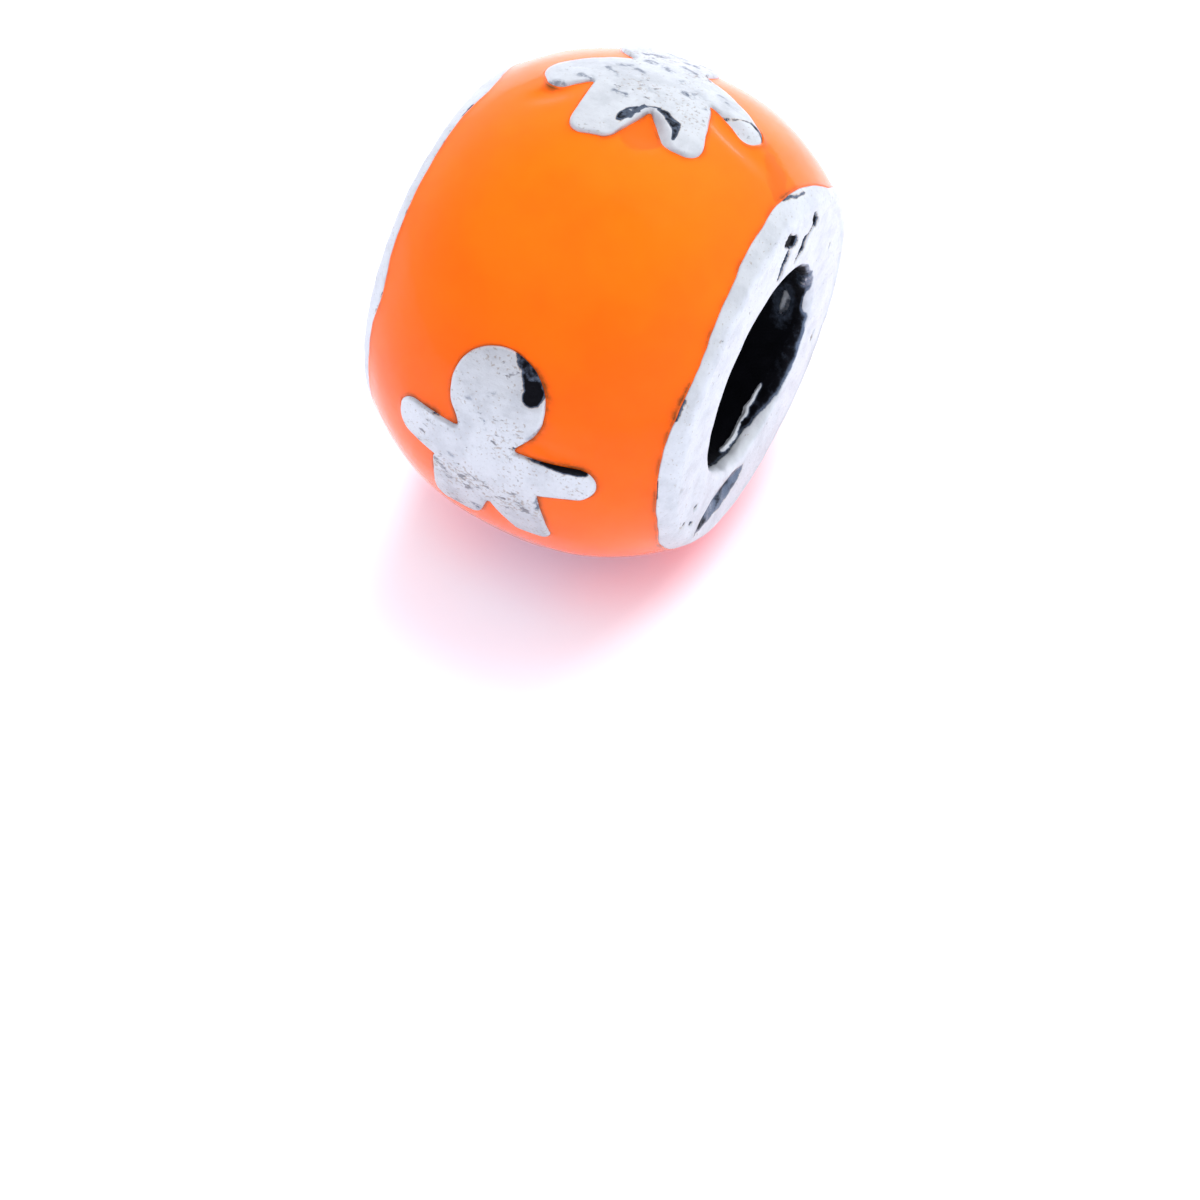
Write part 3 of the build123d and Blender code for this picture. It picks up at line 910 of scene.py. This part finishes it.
def enamelSurface(flat):  # height of the enamel's top, the dirt and painted shade at its brinks, and the painted shade of its hollows
    x, s = flat.T
    place = onBarrel(x, s)
    metal = np.minimum(figuresDistance(x, s), np.minimum(borderAt(s, 1) - x, x + borderAt(s, -1)))
    metal = np.maximum(metal, 0)
    height = glaze["climb"] * np.exp(-metal / glaze["climbReach"])
    height += glaze["waviness"] * ease(0, 0.4, metal) * (waves(place, 3.0, 51) + 0.5 * waves(place, 1.4, 52))
    for which, hu, hv, ru, rv, turn, depth in glaze["hollows"]:
        u, v, facing = figurePlane(x, s, which)
        a, b = turned(u - hu, v - hv, turn)
        height -= np.where(facing, depth * np.exp(-((a / ru) ** 2 + (b / rv) ** 2) ** 1.5), 0)
    grimeAndShade, poolShade = 0 * x, 0 * x
    for along, angle, reach, more in glaze["grimeAndShade"]:
        px, ps = onStrip(along, angle)
        grimeAndShade = np.maximum(grimeAndShade, more * hump(np.hypot(x - px, s - ps), reach))
    # darker towards the metal: partly dirt, partly painted shade where the enamel curves down
    brink = np.exp(-metal / (0.042 + 0.02 * grimeAndShade)) * (0.8 + 0.6 * grimeAndShade + 0.15 * waves(place, 0.8, 53))
    # painted shade in the hollows of the enamel
    for corners, soft in glaze["poolShades"]:
        away = polygonDistance(x, s, [onStrip(*corner) for corner in corners])
        poolShade = np.maximum(poolShade, ease(soft, -soft, away))
    return height, np.clip(brink, 0, 1), poolShade


def clearOf(flat, gap):  # which points of the band are this far from its borders, its seam and the figures
    x, s = flat.T
    inBand = (x < borderAt(s, 1) - gap) & (x > gap - borderAt(s, -1)) & (np.abs(s) < pi * barrel["radius"] - 0.03)
    return inBand & (figuresDistance(x, s) > gap)


def bandPoints(wide, high, gap, clear):
    points = latticed((-wide, -high), (wide, high), gap)
    return points[clearOf(points, clear)]


def enamelBand():
    step, tuck, under = figure["step"], glaze["tuck"], -glaze["under"]
    windows, rows = [], []
    for near, line in figureLines:
        window = evened(toLevel(near, line, -tuck), step)
        windows.append(window)
        rows.append(ringsBeside(near, window, -tuck, glaze["figureRows"], step * 1.15))
    loop = bandLoop(0.01)
    s = roundBarrel()[1:-1]
    for away in glaze["borderRows"]:
        rows += [np.stack([borderAt(s, 1) - away, s], 1), np.stack([away - borderAt(s, -1), s], 1)]
    beside = np.vstack(rows)
    beside = beside[clearOf(beside, glaze["rowsClear"])]
    inner, coarse = (bandPoints(*glaze[name]) for name in ("topGrid", "underGrid"))
    topFlat, topTris = fillFlat([loop] + windows, thinned(np.vstack([beside, inner]), glaze["closest"]))
    underFlat, underTris = fillFlat([loop] + windows, coarse)
    patches = [(topFlat, topTris, *enamelSurface(topFlat)), (underFlat, [t[::-1] for t in underTris], under, 0.0, 0.0)]
    # walls from top to underside, at the windows and at the right and left borders
    seam, sides = barrel["seamPoints"], barrel["columns"] + 1
    right, left = loop[seam:seam + sides], loop[2 * seam + sides:][::-1]
    walls = [(window, True, 1) for window in windows] + [(right, False, -1), (left, False, 1)]
    for line, closed, way in walls:
        n = len(line)
        height = np.concatenate([enamelSurface(line)[0], np.full(n, under)])
        pairs = [(j, (j + 1) % n) for j in range(n if closed else n - 1)]
        quads = [(a, b, n + b, n + a)[::way] for a, b in pairs]
        patches.append((np.vstack([line, line]), quads, height, 0.0, 0.0))
    return rolledPiece("enamelBand", enamelFinish(), ("brink", "poolShade"), patches)


enamel = enamelBand()
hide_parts("enamel")


# floor and light
studio = {
    "floorColour": (0.83, 0.85, 0.905), "floorGlow": (0.03, 0.01, 0.03), "floorSize": 3000, "floorCells": 8,
    "grains": {"clouds": (0.02, 2.0, 0.5)},
    "paintedShadowTint": (0.93, 0.66, 0.73), "underFrom": 6.2, "underTo": 7.7,  # a painted contact shadow: the floor is warmer and darker close to the bead
    "farGlow": (0.34, 0.40, 0.34), "farFrom": 60, "farTo": 450,  # far off it melts into the sky
    # the sky is dim round one direction, over the front, and grows brighter away from it
    "dimWay": (-0.25, -0.35, 0.90), "dimSky": (0.66, 0.60, 0.68), "brightSky": (1.38, 1.38, 1.44),
    "dimTo": 0.97, "brightFrom": 0.15,
}


def studioFloor():
    material, tree, shader, where, grains = newFinish("paleFloor", studio["grains"])
    away = put(tree, "ShaderNodeVectorMath", {0: where}, operation="LENGTH").outputs["Value"]
    clouds = between(tree, grains["clouds"], 0.3, 0.7)
    clouded = tuple(k * 0.985 for k in studio["floorColour"])
    # share of the painted contact shadow, close to the bead
    beside = between(tree, away, studio["underFrom"] * mm, studio["underTo"] * mm)
    far = between(tree, away, studio["farFrom"] * mm, studio["farTo"] * mm)
    feed(tree, shader, {
        "Base Color": mixed(tree, beside, studio["paintedShadowTint"], mixed(tree, clouds, studio["floorColour"], clouded)),
        "Roughness": 0.9, "Specular IOR Level": 0.1,
        "Emission Color": mixed(tree, far, studio["floorGlow"], studio["farGlow"]), "Emission Strength": 1.0,
    })
    size, cells = studio["floorSize"] * mm / 2, studio["floorCells"]
    ticks = np.linspace(-size, size, cells + 1)
    x, y = np.meshgrid(ticks, ticks)
    points = np.stack([x.ravel(), y.ravel(), np.full(x.size, cadBox[0][2])], 1)
    mesh = bpy.data.meshes.new("studioFloor")
    mesh.from_pydata(points.tolist(), [], [face[::-1] for face in grid(cells + 1, cells + 1)])
    mesh.materials.append(material)
    newObject("studioFloor", mesh)


lamps = {  # place, aim, width and height in millimetres, strength in watts, colour
    "overBack": ((10, 90, 150), (0, 0, 0), (150, 150), 0.45, (1.0, 1.0, 1.0)),
    "overFront": ((-40, -60, 160), (0, 0, 0), (160, 160), 0.14, (1.0, 0.98, 1.0)),
}


def studioLight():
    world = bpy.data.worlds.new("studioAir")
    bpy.context.scene.world = world
    world.use_nodes = True
    tree = world.node_tree
    way = put(tree, "ShaderNodeTexCoord").outputs["Generated"]
    length = sum(k * k for k in studio["dimWay"]) ** 0.5
    dimWay = [k / length for k in studio["dimWay"]]
    towards = put(tree, "ShaderNodeVectorMath", {0: way, 1: dimWay}, operation="DOT_PRODUCT").outputs["Value"]
    share = between(tree, towards, studio["brightFrom"], studio["dimTo"])
    sky = mixed(tree, share, studio["brightSky"], studio["dimSky"])
    feed(tree, tree.nodes["Background"], {"Color": sky})
    for name, (place, target, size, watts, colour) in lamps.items():
        lamp = bpy.data.lights.new(name, "AREA")
        lamp.shape = "RECTANGLE"
        lamp.size, lamp.size_y = size[0] * mm, size[1] * mm
        lamp.energy, lamp.color = watts, colour
        holder = newObject(name, lamp)
        pointAt(holder, place, target)
        holder.visible_glossy = False  # only the sky shows in the gloss


studioFloor()
studioLight()
bpy.context.scene.view_settings.view_transform = "Standard"
print("floor and light set")
